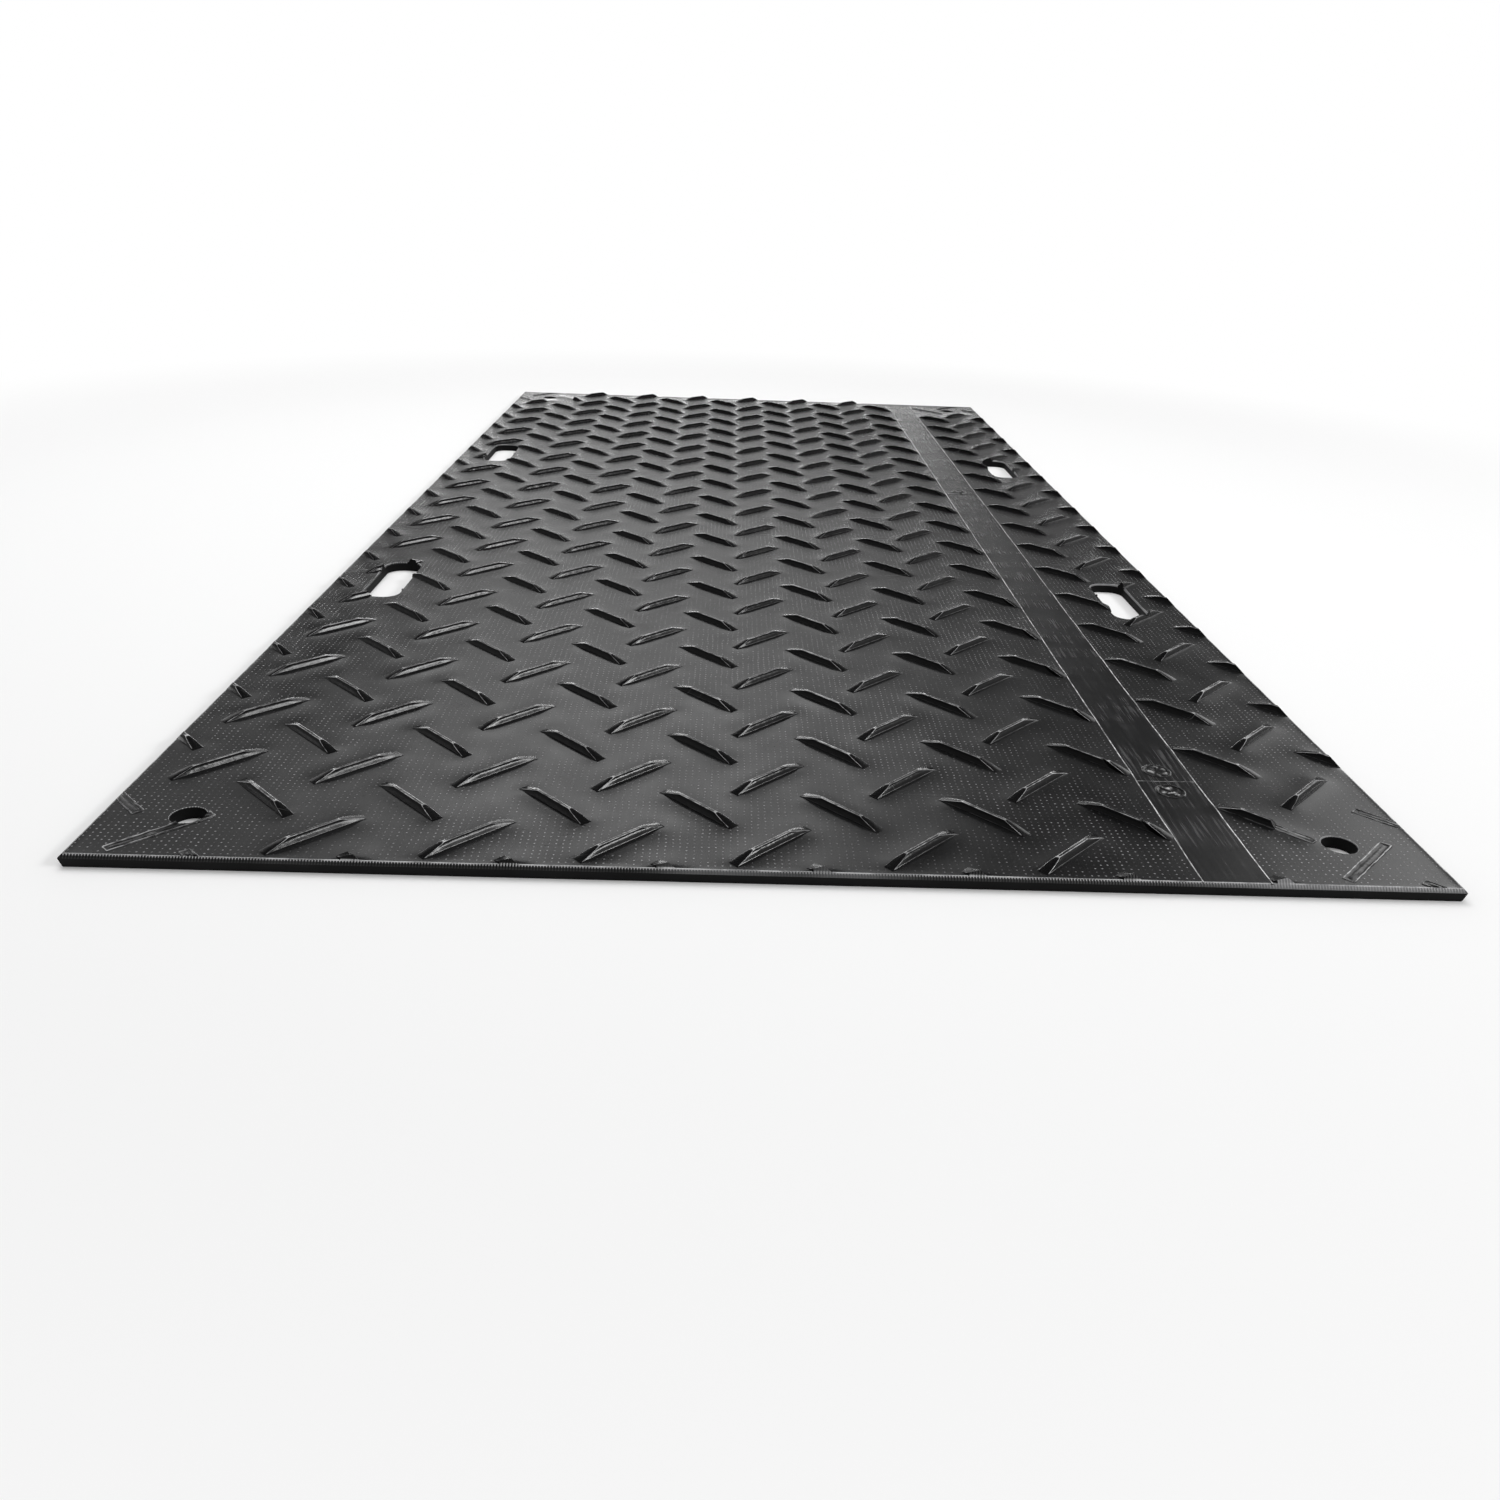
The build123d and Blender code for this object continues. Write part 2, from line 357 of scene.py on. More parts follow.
# Deck grid with the strip's band, then the rim as rings that run down from it, and the flat underside
strip_left, strip_right = 0.376, 0.437
deck_cell = 0.0061
rim_profile = [
    # step in from the sheet's widest outline, and height
    (0.0040, sheet_thickness), (0.0033, sheet_thickness + 0.00006), (0.0029, sheet_thickness - 0.00014),
    (0.0003, sheet_thickness - 0.00270), (0.0000, sheet_thickness - 0.0034),
    (0.0001, sheet_thickness - 0.0040), (0.0016, 0.0009), (0.0020, 0.0),
]
routed_levels = 4
inset = rim_profile[0][0]
across = round((mat_width - 2 * inset) / deck_cell)
along = round((mat_length - 2 * inset) / deck_cell)
xs = np.linspace(-mat_width / 2 + inset, mat_width / 2 - inset, across + 1)
ys = np.linspace(-mat_length / 2 + inset, mat_length / 2 - inset, along + 1)
for edge in (strip_left, strip_right):
    xs[np.abs(xs - edge).argmin()] = edge
grid_x, grid_y = [g.ravel() for g in np.meshgrid(xs, ys)]
swell = deck_swell(grid_x, grid_y)
points = np.stack([grid_x, grid_y, sheet_thickness + swell], 1).tolist()
faces, face_materials = [], []
for j in range(along):
    for i in range(across):
        a = j * (across + 1) + i
        faces.append((a, a + 1, a + across + 2, a + across + 1))
        face_materials.append(3 if strip_left < (xs[i] + xs[i + 1]) / 2 < strip_right else 0)
ring = list(range(across))
ring += [j * (across + 1) + across for j in range(along)]
ring += [along * (across + 1) + i for i in range(across, 0, -1)]
ring += [j * (across + 1) for j in range(along, 0, -1)]
corner_x, corner_y = mat_width / 2 - inset, mat_length / 2 - inset
outline = [points[i] for i in ring]
for level, (step_in, z) in enumerate(rim_profile[1:]):
    new_ring = []
    for x, y, _ in outline:
        new_ring.append(len(points))
        wide_x, wide_y = mat_width / 2 - step_in, mat_length / 2 - step_in
        points.append([x * wide_x / corner_x, y * wide_y / corner_y, z])
    for k in range(len(ring)):
        n = (k + 1) % len(ring)
        faces.append((ring[k], new_ring[k], new_ring[n], ring[n]))
        face_materials.append(1 if level < routed_levels else 2)
    ring = new_ring
faces.append(tuple(reversed(ring)))
face_materials.append(2)
sheet_finishes = [deck_skin, milled_edge, sawn_edge, strip_skin]
sheet = mesh_object("sheet", points, faces, sheet_finishes)
sheet.data.polygons.foreach_set("material_index", face_materials)

# Slots and holes, cut with a router that also breaks their top edge
slot_x, slot_spacing = 0.530, 0.880
slot_size = (0.050, 0.160, 0.020)
hole_size = (2 * hole_radius, 2 * hole_radius, hole_radius)
hole_chamfer, slot_chamfer = 0.001, 0.002


def rounded_outline(width, length, radius, steps=10):
    """Points round a rectangle with rounded corners."""
    outline = []
    for cx, cy, start in ((1, 1, 0), (-1, 1, 90), (-1, -1, 180), (1, -1, 270)):
        for step in range(steps + 1):
            turn = math.radians(start + 90 * step / steps)
            outline.append((cx * (width / 2 - radius) + radius * math.cos(turn),
                            cy * (length / 2 - radius) + radius * math.sin(turn)))
    return outline


def router_bit(name, centres, size, chamfer, materials):
    """Solids that cut openings with a broken top edge or, with no chamfer, straight through all above.

    The size is width, length and corner radius. The sides of a cut get the sawn finish and its chamfer gets the
    routed one.
    """
    width, length, radius = size
    points, faces, kinds = [], [], []
    below, above_deck, above_tread, overrun = -0.005, 0.006, 0.03, 1.25
    if chamfer:
        levels = [(0, below), (0, sheet_thickness - chamfer),
                  (overrun, sheet_thickness + (overrun - 1) * chamfer), (overrun, sheet_thickness + above_deck)]
    else:
        levels = [(0, below), (0, above_tread)]
    for cx, cy in centres:
        first = len(points)
        for grow, z in levels:
            g = grow * chamfer
            for x, y in rounded_outline(width + 2 * g, length + 2 * g, radius + g):
                points.append((cx + x, cy + y, z))
        count = (len(points) - first) // len(levels)
        for level in range(len(levels) - 1):
            for k in range(count):
                n = (k + 1) % count
                low, high = first + level * count, first + (level + 1) * count
                faces.append((low + k, low + n, high + n, high + k))
                kinds.append(1 if level > 0 else 2)
        faces.append(tuple(reversed(range(first, first + count))))
        faces.append(tuple(range(len(points) - count, len(points))))
        kinds += [2, 2]
    made = mesh_object(name, points, faces, materials)
    made.data.polygons.foreach_set("material_index", kinds)
    return made


hole_centres = [(sx * hole_x, sy * hole_y) for sx in (-1, 1) for sy in (-1, 1)]
slot_centres = [(sx * slot_x, sy * slot_spacing / 2) for sx in (-1, 1) for sy in (-1, 1)]
for bit in (router_bit("hole_bit", hole_centres, hole_size, hole_chamfer, sheet_finishes),
            router_bit("slot_bit", slot_centres, slot_size, slot_chamfer, sheet_finishes)):
    cut(sheet, bit, "DIFFERENCE")
    bpy.data.objects.remove(bit)
smooth_with_sharp_edges(sheet, 24)

# How far each point of the skin belongs to the foot of a cleat, where it has no nibs
smooth_reach = 0.014
where = np.array([v.co for v in sheet.data.vertices])
foot_share = np.clip(1.3 * near_feet(where[:, 0], where[:, 1], smooth_reach), 0, 1).astype(np.float32)
sheet.data.attributes.new("foot", "FLOAT", "POINT").data.foreach_set("value", foot_share)
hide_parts("tread_mat")
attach(sheet, "root")

# The cleats: low bars of the same plastic, pressed with the sheet in a herringbone of two leans.
# Each has a narrow flat ridge, steep flanks, a long ramp at both ends and a small fillet round its foot.
# Those at the edges are sawn and bevelled with the sheet, and those at the slots are cut by the router.
cleat_height = 0.0072
ring_levels = [
    # height, half length and half width of the bar at that height, and how pale its edges are: painted highlight
    # and wear
    (-0.0028, 0.0486, 0.0062, 0), (-0.00025, 0.0492, 0.0066, 0), (0.00004, 0.0486, 0.0060, 0),
    (0.00040, 0.0475, 0.00540, 0), (0.00075, 0.0462, 0.00508, 0.5), (0.00115, 0.0448, 0.00486, 0),
    (0.0036, 0.0366, 0.00412, 0), (0.0056, 0.0296, 0.00302, 0), (0.0064, 0.0268, 0.00230, 0),
    (0.0068, 0.0252, 0.00172, 0.35), (0.00706, 0.0242, 0.00130, 1.0), (0.00718, 0.0234, 0.00100, 0.35),
    (0.0072, 0.0228, 0.00060, 0.0),
]

# Rounding of a bar's corners along and across it, and the rows over which painted highlight and wear fade towards
# the back
corner_along, corner_across = 0.0015, 0.00048
highlight_and_wear_rows, highlight_and_wear_shares = (3, 12), (1.0, 0.3)


def bar_mesh(cleats, levels, long_steps, outlined):
    """Bars as stacks of rounded rings that narrow to the ridge, set on the swollen skin of the deck.

    Gives points, faces and the painted highlight and wear at each point. The ridge, the hips at the ramps and the
    foot are painted pale as highlight lines and as wear, and the tips too where a bar is no more than an outline.
    """
    local = []
    for height, half_length, half_width, highlight_and_wear in levels:
        c, d = corner_along, min(corner_across, 0.45 * half_width)
        tip = highlight_and_wear if height > 0.006 or outlined else 0.0
        hip = 1.0 if height > 0.0006 else highlight_and_wear
        straight = half_length - c
        side = [((1 - 2 * k / long_steps) * straight, half_width, highlight_and_wear) for k in range(1, long_steps)]
        near = [(half_length, half_width - d, tip),
                (half_length - 0.3 * c, half_width - 0.3 * d, max(hip, highlight_and_wear)),
                (straight, half_width, highlight_and_wear)]
        top = near + side + [(-a, b, w) for a, b, w in reversed(near)]
        loop = top + [(-half_length, 0.0, tip)] + [(-a, -b, w) for a, b, w in near + side]
        loop += [(a, -b, w) for a, b, w in reversed(near)] + [(half_length, 0.0, tip)]
        local += [(a, b, height, w) for a, b, w in loop]
    count = len(local) // len(levels)
    local = np.array(local)
    low_line = (local[:, 2] > 0.0005) & (local[:, 2] < 0.001)
    points, faces, wear = [], [], []
    for centre, lean, column, row in cleats:
        first = len(points)
        c, s = math.cos(lean), math.sin(lean)
        x = centre.x + local[:, 0] * c - local[:, 1] * s
        y = centre.y + local[:, 0] * s + local[:, 1] * c
        z = local[:, 2] + sheet_thickness
        points += np.stack([x, y, z], 1).tolist()
        # The painted highlight and wear are full in the front rows and fainter towards the back; the foot line is
        # painted fainter on the left-leaning bars
        front_share = np.interp(row, highlight_and_wear_rows, highlight_and_wear_shares)
        wear += (local[:, 3] * np.where(low_line & (lean < 0), 0.45, 1.0) * front_share).tolist()
        for level in range(len(levels) - 1):
            for k in range(count):
                n = (k + 1) % count
                low, high = first + level * count, first + (level + 1) * count
                faces.append((low + k, low + n, high + n, high + k))
        faces.append(tuple(reversed(range(first, first + count))))
        faces.append(tuple(range(first + (len(levels) - 1) * count, first + len(levels) * count)))
    points = np.array(points)
    over = (points[:, 2] - sheet_thickness) / cleat_height
    points[:, 2] += deck_swell(points[:, 0], points[:, 1]) * np.clip(1 - over, 0, 1)
    return points.tolist(), faces, wear


def bars(name, cleats, levels, materials, long_steps=5, outlined=False):
    """An object of bars that carries their painted highlight and wear as a value at each point."""
    points, faces, wear = bar_mesh(cleats, levels, long_steps, outlined)
    made = mesh_object(name, points, faces, materials)
    made.data.attributes.new("highlight_and_wear", "FLOAT", "POINT").data.foreach_set("value", wear)
    return made


# Cleat skin: black and a little lumpy, edges pale in patches: painted highlight, and wear where feet and tracks
# reach it
cleat_black, highlight_and_wear_pale = (0.0040, 0.0040, 0.0042, 1), (0.72, 0.72, 0.725, 1)
cleat_skin, tree, shader = new_material("black_cleat_skin")
peel = place_group(tree, skin, {"Grain": 0.00004, "Scale": 260.0})
marks = place_group(tree, scuffs, {"Amount": 0.8})
place = put(tree, "ShaderNodeTexCoord").outputs["Object"]
highlight_and_wear = put(tree, "ShaderNodeAttribute", attribute_name="highlight_and_wear", attribute_type="GEOMETRY").outputs["Fac"]
highlight_and_wear = sum_up(tree, "POWER", highlight_and_wear, 1.8)
highlight_and_wear = sum_up(tree, "MULTIPLY", highlight_and_wear, spread(tree, noise_at(tree, place, 130.0, 3.0), 0.36, 0.58, 0.35, 1.0))
highlight_and_wear = sum_up(tree, "MULTIPLY", highlight_and_wear, spread(tree, noise_at(tree, place, 16.0, 1.0), 0.35, 0.58, 0.45, 1.0))
pale = sum_up(tree, "MAXIMUM", highlight_and_wear, sum_up(tree, "MULTIPLY", marks.outputs["Mask"], 0.12))
tree.links.new(mix_colours(tree, pale, cleat_black, highlight_and_wear_pale), shader.inputs["Base Color"])
tree.links.new(spread(tree, peel.outputs["Mottle"], 0, 1, 0.18, 0.28, "LINEAR"), shader.inputs["Roughness"])
lumps = sum_up(tree, "MULTIPLY", noise_at(tree, place, 120.0, 2.0), 0.00035)
height = sum_up(tree, "ADD", peel.outputs["Height"], lumps)
raise_surface(tree, shader, height)

# Solids that the bars at the edges, the strip and the corners are cut with; each reaches a little past the tread
edge_bevel = 0.003
bevel_foot = sheet_thickness - edge_bevel
tread_top = sheet_thickness + cleat_height
edge_gap = 0.00004


def edge_wedge(materials):
    """Solid inside the sawn bevel, up to the top of the tread; cleats are cut to it."""
    points, faces = [], []
    below, above = 0.004, 0.002
    lean_in = cleat_height + edge_bevel + above
    for z, step_in in ((bevel_foot - below, 0.0), (bevel_foot, 0.0), (tread_top + above, lean_in)):
        reach_x, reach_y = mat_width / 2 - step_in - edge_gap, mat_length / 2 - step_in - edge_gap
        points += [(sx * reach_x, sy * reach_y, z) for sx, sy in ((-1, -1), (1, -1), (1, 1), (-1, 1))]
    for low in (0, 4):
        for k in range(4):
            n = (k + 1) % 4
            faces.append((low + k, low + n, low + 4 + n, low + 4 + k))
    faces += [(3, 2, 1, 0), (8, 9, 10, 11)]
    made = mesh_object("edge_wedge", points, faces, materials)
    made.data.polygons.foreach_set("material_index", [1] * len(faces))
    return made


def strip_valley(materials):
    """Solid that keeps the marking strip clear: upright on its right, sloped like a ramp on its left."""
    margin_left, margin_right, slope, past_top = 0.008, 0.002, 0.0166, 1.14
    left, right = strip_left - margin_left, strip_right + margin_right
    below, above, end = sheet_thickness - 0.004, tread_top + 0.001, 1.3
    profile = [(left, below), (right, below), (right, above), (left - slope * past_top, above),
               (left, sheet_thickness)]
    points = [(x, y, z) for y in (-end, end) for x, z in profile]
    faces = [(k, (k + 1) % 5, 5 + (k + 1) % 5, 5 + k) for k in range(5)] + [(4, 3, 2, 1, 0), (5, 6, 7, 8, 9)]
    return mesh_object("strip_valley", points, faces, materials)


def corner_pads(materials):
    """Cones that press the tread flat round the corner holes, wider at the back than at the front."""
    pads = ((-hole_x, -hole_y, 0.030), (hole_x, -hole_y, 0.055), (-hole_x, hole_y, 0.066), (hole_x, hole_y, 0.066))
    around = 48
    points, faces = [], []
    for cx, cy, radius in pads:
        first = len(points)
        for grow, z in ((0.0, sheet_thickness - 0.0003), (cleat_height + 0.001, tread_top + 0.001)):
            for k in range(around):
                turn = 2 * math.pi * k / around
                points.append((cx + (radius + grow) * math.cos(turn), cy + (radius + grow) * math.sin(turn), z))
        top = first + around
        for k in range(around):
            n = (k + 1) % around
            faces.append((first + k, first + n, top + n, top + k))
        faces += [tuple(reversed(range(first, top))), tuple(range(top, top + around))]
    return mesh_object("corner_pads", points, faces, materials)


# How near a cleat's centre may come to the edge, the strip, a hole or a slot and stay whole
clear_of_edge, clear_of_strip, clear_of_hole = 0.046, 0.075, 0.12
clear_beside_slot, clear_past_slot = 0.07, 0.13


def needs_cutting(cleat):
    """True for a cleat that meets the sheet's edge, the strip, a corner pad or a slot."""
    x, y, _ = cleat[0]
    at_edge = mat_width / 2 - abs(x) < clear_of_edge or mat_length / 2 - abs(y) < clear_of_edge
    at_strip = abs(x - (strip_left + strip_right) / 2) < clear_of_strip
    at_hole = any(math.hypot(x - a, y - b) < clear_of_hole for a, b in hole_centres)
    at_slot = any(abs(x - a) < clear_beside_slot and abs(y - b) < clear_past_slot for a, b in slot_centres)
    return at_edge or at_strip or at_hole or at_slot


finishes = [cleat_skin, milled_edge, sawn_edge]
wedge, valley, pads = edge_wedge(finishes), strip_valley(finishes), corner_pads(finishes)
through_slots = router_bit("through_slots", slot_centres, slot_size, 0, finishes)
through_holes = router_bit("through_holes", hole_centres, hole_size, 0, finishes)
all_cleats = right_cleats + left_cleats
for name, group in (
    ("cleats_right", [c for c in right_cleats if not needs_cutting(c)]),
    ("cleats_left", [c for c in left_cleats if not needs_cutting(c)]),
    ("cleats_cut", [c for c in all_cleats if needs_cutting(c)]),
):
    piece = bars(name, group, ring_levels, finishes)
    if name == "cleats_cut":
        cut(piece, wedge, "INTERSECT")
        for cutter in (valley, pads, through_slots, through_holes):
            cut(piece, cutter, "DIFFERENCE")
    smooth_with_sharp_edges(piece, 38)
    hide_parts("tread_mat")
    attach(piece, "root")

# The flattened cleats: at the corners the press has left only faint outlines where cleats should stand.
# They are the same plastic, about half a millimetre high, crinkled, and cut by the holes and the bevel.
faint_levels = [
    (-0.0020, 0.0474, 0.0056, 0), (-0.0002, 0.0480, 0.0062, 0), (0.00030, 0.0476, 0.0056, 0.2),
    (0.00060, 0.0471, 0.0050, 0.9), (0.00036, 0.0465, 0.0043, 0.4), (0.00006, 0.0459, 0.0037, 0.1),
    (0.00010, 0.0430, 0.0018, 0.12), (0.00034, 0.0420, 0.0008, 0.25),
]
half_formed = (8, 1)
faint_cleats = [(cleat_place(right_columns, right_start, *spot), lean_right, *spot) for spot in sorted(flat_right)]
faint_cleats += [(cleat_place(left_columns, left_start, *spot), lean_left, *spot)
                 for spot in sorted(flat_left | {half_formed})]
flattened_cleats = bars("flattened_cleats", faint_cleats, faint_levels, finishes, long_steps=12, outlined=True)

# Crinkles, fullest beside the front left hole, and pale patches of wear and painted highlight, paler raised and at
# the front
crinkle_scale, crinkle_shifts = 210, (0.0, 7.3, 15.1)
crinkle_side, crinkle_rise = 0.0008, 0.00045
fullest_x, fullest_y, fullest_reach = -0.545, -1.175, 0.045
patch_scale = 170
for vertex in flattened_cleats.data.vertices:
    if vertex.co.z > sheet_thickness - 0.001:
        spots = [vertex.co * crinkle_scale + Vector((shift, shift, 0)) for shift in crinkle_shifts]
        crinkle = Vector([noise.noise(spot) for spot in spots])
        vertex.co += Vector((crinkle_side * crinkle.x, crinkle_side * crinkle.y, crinkle_rise * crinkle.z))
        apart = (vertex.co.x - fullest_x) ** 2 + (vertex.co.y - fullest_y) ** 2
        rise = max(vertex.co.z - sheet_thickness, 0)
        vertex.co.z += rise * 2.2 * math.exp(-apart / fullest_reach ** 2) * (1 + 1.2 * crinkle.x)
# Pale crests and patches: painted highlight on the raised parts as well as wear, a quarter as strong on the back
# half
crests = flattened_cleats.data.attributes["highlight_and_wear"].data
for vertex, crest in zip(flattened_cleats.data.vertices, crests):
    raised_pale = 0.9 if vertex.co.z > sheet_thickness + 0.0002 else 0.5
    patch = max(0.0, noise.noise(vertex.co * patch_scale)) * raised_pale
    crest.value = max(crest.value, patch) * (1.0 if vertex.co.y < 0 else 0.25)
cut(flattened_cleats, wedge, "INTERSECT")
cut(flattened_cleats, through_holes, "DIFFERENCE")
smooth_with_sharp_edges(flattened_cleats, 60)
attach(flattened_cleats, "root")
for cutter in (wedge, valley, pads, through_slots, through_holes):
    bpy.data.objects.remove(cutter)

# The lines of the marking strip: two thin raised lines of the same plastic along its smooth band.
# They are the joints round a loose plate in the mould; lower seams run across where two plates meet.
line_width, line_height, line_step = 0.0018, 0.0005, 0.008
seam_width, seam_height = 0.0014, 0.0004
seam_places = (-1.025, 0.200)
buried = -0.0006


def raised_line(start, end, width, height, seed):
    """A low rounded line on the deck between two points, a little uneven in height and course."""
    start, end = Vector(start), Vector(end)
    run = end - start
    steps = max(2, round(run.length / line_step))
    side = Vector((-run.y, run.x)).normalized()
    profile = [(-0.62, None), (-0.5, 0.0), (-0.42, 0.5), (-0.22, 0.9), (0.0, 1.0), (0.22, 0.9), (0.42, 0.5),
               (0.5, 0.0), (0.62, None)]
    points, faces = [], []
    for step in range(steps + 1):
        at = start + run * step / steps
        sway = 0.00025 * noise.noise(Vector((at.x * 40, at.y * 40, seed)))
        rise = 0.8 + 0.45 * noise.noise(Vector((at.x * 55, at.y * 55, seed + 5)))
        for across_share, up_share in profile:
            place = at + side * (width * across_share + sway)
            points.append([place.x, place.y, buried if up_share is None else up_share * height * rise])
    count = len(profile)
    for step in range(steps):
        for k in range(count):
            n = (k + 1) % count
            a, b = step * count, (step + 1) * count
            faces.append((a + k, b + k, b + n, a + n))
    faces += [tuple(range(count)), tuple(reversed(range(steps * count, (steps + 1) * count)))]
    points = np.array(points)
    points[:, 2] += sheet_thickness + deck_swell(points[:, 0], points[:, 1])
    return points.tolist(), faces


def join_meshes(parts):
    """Points and faces of several meshes as those of one."""
    points, faces = [], []
    for more_points, more_faces in parts:
        first = len(points)
        points += more_points
        faces += [tuple(first + k for k in face) for face in more_faces]
    return points, faces


# Both lines run the length of the mat and stop inside its bevel; the middle three points of nine are their crest
line_end = mat_length / 2 - 0.0022
lines = [raised_line((x, -line_end), (x, line_end), line_width, line_height, seed)
         for x, seed in ((strip_left, 1.0), (strip_right, 2.0))]
lines += [raised_line((strip_left, y), (strip_right, y + 0.001), seam_width, seam_height, 3.0 + y)
          for y in seam_places]
strip_lines = mesh_object("strip_lines", *join_meshes(lines), [cleat_skin])
# The crests are painted pale as highlight and as wear
profile_points, crest_points = 9, (3, 4, 5)
crests = [float(k % profile_points in crest_points) for k in range(len(strip_lines.data.vertices))]
strip_lines.data.attributes.new("highlight_and_wear", "FLOAT", "POINT").data.foreach_set("value", crests)
smooth_with_sharp_edges(strip_lines, 60)
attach(strip_lines, "root")

# The mould prints: round plugs that close the mould beside a seam leave prints in the strip's plastic.
# Each has a raised rim and a rough, torn middle of up to a millimetre or two; its tops are painted pale as
# highlight and wear.
print_places = (-1.001, -1.046, 0.214)
print_radius = 0.0145


def round_print(x, y, radius, seed):
    """A round print with a raised rim and a lumpy middle, as a plug in the mould leaves."""
    rings = [(1.10, None), (1.06, -0.05), (1.0, 0.45), (0.93, 0.7), (0.86, 0.4), (0.80, -0.1), (0.68, 0.1),
             (0.55, 0.1), (0.42, 0.1), (0.28, 0.1), (0.14, 0.1)]
    rim_rise, middle_lumps, rim_lumps = 0.0008, 0.0022, 0.0004
    around = 40
    points, faces = [], []
    for share, rise in rings:
        for k in range(around):
            turn = 2 * math.pi * k / around
            a, b = x + share * radius * math.cos(turn), y + share * radius * math.sin(turn)
            if rise is None:
                points.append([a, b, -0.0008])
                continue
            coarse = noise.noise(Vector((a * 190, b * 190, seed)))
            fine = noise.noise(Vector((a * 420, b * 420, seed)))
            lump = coarse + 0.5 * fine
            depth = rim_rise * rise + (middle_lumps * lump if share < 0.8 else rim_lumps * lump)
            points.append([a, b, max(depth, -0.0004 if share > 1.02 else 0.00002)])
    for level in range(len(rings) - 1):
        low, high = level * around, (level + 1) * around
        for k in range(around):
            n = (k + 1) % around
            faces.append((low + k, low + n, high + n, high + k))
    faces += [tuple(reversed(range(around))), tuple(range((len(rings) - 1) * around, len(rings) * around))]
    points = np.array(points)
    points[:, 2] += sheet_thickness + deck_swell(points[:, 0], points[:, 1])
    return points.tolist(), faces


print_x = (strip_left + strip_right) / 2 - 0.002
prints = [round_print(print_x, y, print_radius, 4.0 + y) for y in print_places]
mould_prints = mesh_object("mould_prints", *join_meshes(prints), [cleat_skin])
# The higher a point, the paler it is painted: painted highlight and wear
pale_rise = 0.0007
crests = [min(1.0, max(0.0, (v.co.z - sheet_thickness) / pale_rise - 0.3)) for v in mould_prints.data.vertices]
mould_prints.data.attributes.new("highlight_and_wear", "FLOAT", "POINT").data.foreach_set("value", crests)
smooth_with_sharp_edges(mould_prints, 60)
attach(mould_prints, "root")

# The studio: a pale floor and a white background, with a soft lamp overhead, a low one far behind the mat and a
# box lamp at its front right. The black skin mirrors the room, which is pale behind the mat and dim elsewhere,
# so the sheen falls off to the sides and the front.
white_colour = (1, 1, 1, 1)
floor_reach, floor_depth = 30.0, -0.0002
fade_start, fade_end = 1.45, 2.4
floor_material = bpy.data.materials.new("pale_floor")
floor_material.use_nodes = True
tree = floor_material.node_tree
shader = tree.nodes["Principled BSDF"]
shader.inputs["Base Color"].default_value = (0.86, 0.86, 0.86, 1)
shader.inputs["Roughness"].default_value = 0.9
shader.inputs["Specular IOR Level"].default_value = 0.0
place = put(tree, "ShaderNodeTexCoord").outputs["Object"]
far = put(tree, "ShaderNodeVectorMath", {0: place}, operation="LENGTH").outputs["Value"]
fade = spread(tree, far, fade_start, fade_end)
white = put(tree, "ShaderNodeEmission", {"Color": white_colour, "Strength": 1.0}).outputs[0]
path = put(tree, "ShaderNodeLightPath")
seen = sum_up(tree, "MAXIMUM", path.outputs["Is Camera Ray"], path.outputs["Is Glossy Ray"])
seen = sum_up(tree, "MAXIMUM", seen, path.outputs["Is Transmission Ray"])
share = sum_up(tree, "MULTIPLY", seen, fade)
blend = put(tree, "ShaderNodeMixShader", {0: share, 1: shader.outputs[0], 2: white}).outputs[0]
tree.links.new(blend, tree.nodes["Material Output"].inputs["Surface"])
floor_signs = ((-1, -1), (1, -1), (1, 1), (-1, 1))
floor_corners = [(sx * floor_reach, sy * floor_reach, floor_depth) for sx, sy in floor_signs]
floor = mesh_object("floor", floor_corners, [(0, 1, 2, 3)], [floor_material])


def level_ramp(tree, value, stops):
    """Gives the brightness of the room over a value, eased between the stops."""
    ramp = put(tree, "ShaderNodeValToRGB", {0: value})
    ramp.color_ramp.interpolation = "EASE"
    while len(ramp.color_ramp.elements) < len(stops):
        ramp.color_ramp.elements.new(0.5)
    for element, (place, level) in zip(ramp.color_ramp.elements, stops):
        element.position = place
        element.color = (level, level, level, 1)
    return ramp.outputs["Color"]


world = bpy.data.worlds.new("studio")
bpy.context.scene.world = world
world.use_nodes = True
tree = world.node_tree
tree.nodes.clear()
direction = put(tree, "ShaderNodeTexCoord").outputs["Generated"]
parts = put(tree, "ShaderNodeSeparateXYZ", {0: direction})
up = parts.outputs["Z"]
round_about = sum_up(tree, "ARCTAN2", parts.outputs["X"], parts.outputs["Y"])
round_about = spread(tree, round_about, -math.pi, math.pi, curve="LINEAR")
by_side = level_ramp(tree, round_about, (
    # place round about, from the front by the left, the back (0.5) and the right to the front again, and level
    (0.0, 0.05), (0.37, 0.10), (0.395, 0.80), (0.418, 0.24), (0.432, 0.08), (0.445, 0.03), (0.452, 0.08),
    (0.459, 0.32), (0.469, 0.48), (0.490, 0.50), (0.505, 0.42), (0.520, 0.30), (0.532, 0.18), (0.541, 0.18),
    (0.551, 0.10), (0.564, 0.09), (0.574, 0.24), (0.582, 0.70), (0.600, 1.40), (0.64, 1.10), (0.68, 0.20),
    (0.75, 0.14), (0.80, 0.30), (0.86, 0.30), (0.93, 0.06), (1.0, 0.05)))
by_height = level_ramp(tree, up, (
    (0.10, 0.75), (0.16, 1.30), (0.20, 2.00), (0.24, 1.90), (0.285, 1.55), (0.33, 0.88), (0.37, 0.85),
    (0.41, 1.15), (0.46, 1.50), (0.50, 1.35), (0.535, 0.50), (0.57, 0.10)))
room = sum_up(tree, "MULTIPLY", by_side, by_height)

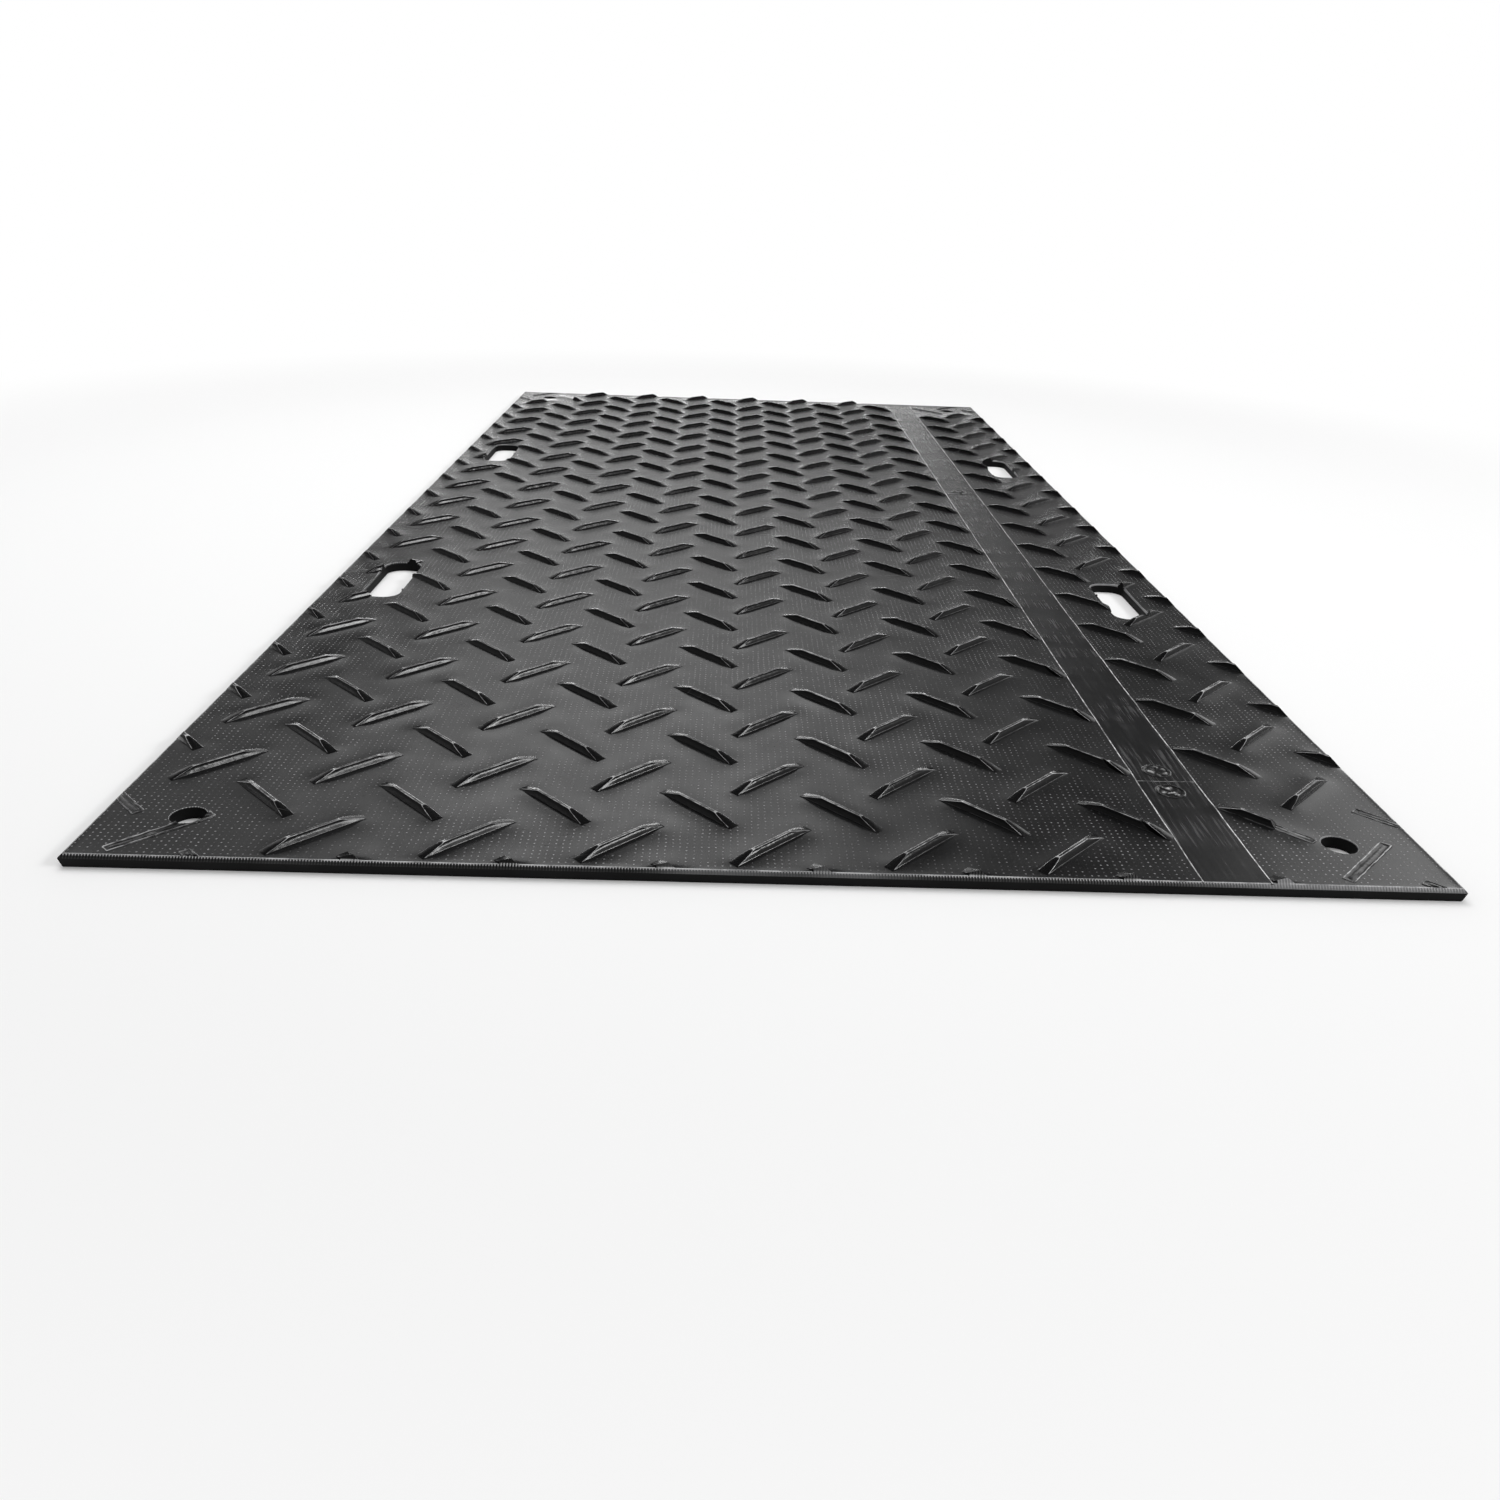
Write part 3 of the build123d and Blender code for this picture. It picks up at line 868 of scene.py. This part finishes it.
# A soft window behind the mat, and a low band all round that meets the pale floor
window_direction = (-0.115, 0.88, 0.46)
toward_window = put(tree, "ShaderNodeVectorMath", {0: direction, 1: window_direction}, operation="DOT_PRODUCT")
window = spread(tree, toward_window.outputs["Value"], 0.935, 0.995, 0.0, 1.5)
window_height = sum_up(tree, "MULTIPLY", spread(tree, up, 0.56, 0.49), spread(tree, up, 0.39, 0.45))
room = sum_up(tree, "ADD", room, sum_up(tree, "MULTIPLY", window, window_height))
low_band = spread(tree, up, 0.135, 0.09)
low_level = spread(tree, round_about, 0.425, 0.450, 1.0, 0.50)
low_level = sum_up(tree, "MULTIPLY", low_level, spread(tree, round_about, 0.505, 0.525, 1.0, 0.45))
low_level = sum_up(tree, "MULTIPLY", low_level, spread(tree, round_about, 0.33, 0.38, 0.40, 1.0))
room = put(tree, "ShaderNodeMix", {0: low_band, 2: room, 3: low_level}).outputs[0]
path = put(tree, "ShaderNodeLightPath")
seen_room = put(tree, "ShaderNodeBackground", {"Color": white_colour, "Strength": room}).outputs[0]
white = put(tree, "ShaderNodeBackground", {"Color": white_colour, "Strength": 1.0}).outputs[0]
light = put(tree, "ShaderNodeBackground", {"Color": white_colour, "Strength": 0.55}).outputs[0]
mirrored = sum_up(tree, "MAXIMUM", path.outputs["Is Glossy Ray"], path.outputs["Is Transmission Ray"])
surround = put(tree, "ShaderNodeMixShader", {0: mirrored, 1: light, 2: seen_room}).outputs[0]
to_camera = path.outputs["Is Camera Ray"]
surround = put(tree, "ShaderNodeMixShader", {0: to_camera, 1: surround, 2: white}).outputs[0]
output = tree.nodes.new("ShaderNodeOutputWorld")
tree.links.new(surround, output.inputs["Surface"])


def soft_lamp(name, place, target, width, length, watts):
    """A box lamp that faces a target and isn't seen itself."""
    lamp = bpy.data.lights.new(name, "AREA")
    lamp.shape, lamp.size, lamp.size_y, lamp.energy = "RECTANGLE", width, length, watts
    made = bpy.data.objects.new(name, lamp)
    made.location = place
    made.rotation_euler = (Vector(target) - Vector(place)).to_track_quat("-Z", "Y").to_euler()
    made.visible_camera = False
    bpy.context.scene.collection.objects.link(made)
    return made


overhead = soft_lamp("overhead", (-0.6, 0.6, 3.4), (0, 0, 0), 3.0, 3.0, 70)
overhead.visible_glossy = False
soft_lamp("low_strip", (-0.9, 12.0, 0.5), (0, 0, 0.05), 12.0, 0.8, 150)
soft_lamp("right_box", (5.6, -2.4, 3.5), (-0.35, -0.9, 0), 3.2, 1.1, 185)

camera = bpy.data.objects.new("camera", bpy.data.cameras.new("camera"))
bpy.context.scene.collection.objects.link(camera)
camera.data.sensor_width, camera.data.lens = 36.0, 28.31
right = Vector((0.99934, -0.00930, 0.03507)).normalized()
back = Vector((-0.02363, -0.90039, 0.43443)).normalized()
upward = back.cross(right).normalized()
right = upward.cross(back)
standpoint = Matrix.Translation((-0.0465, -2.0897, 0.5494))
camera.matrix_world = standpoint @ Matrix((right, upward, back)).transposed().to_4x4()
camera.data.clip_start, camera.data.clip_end = 0.02, 100.0
bpy.context.scene.camera = camera
bpy.context.scene.view_settings.view_transform = "Standard"
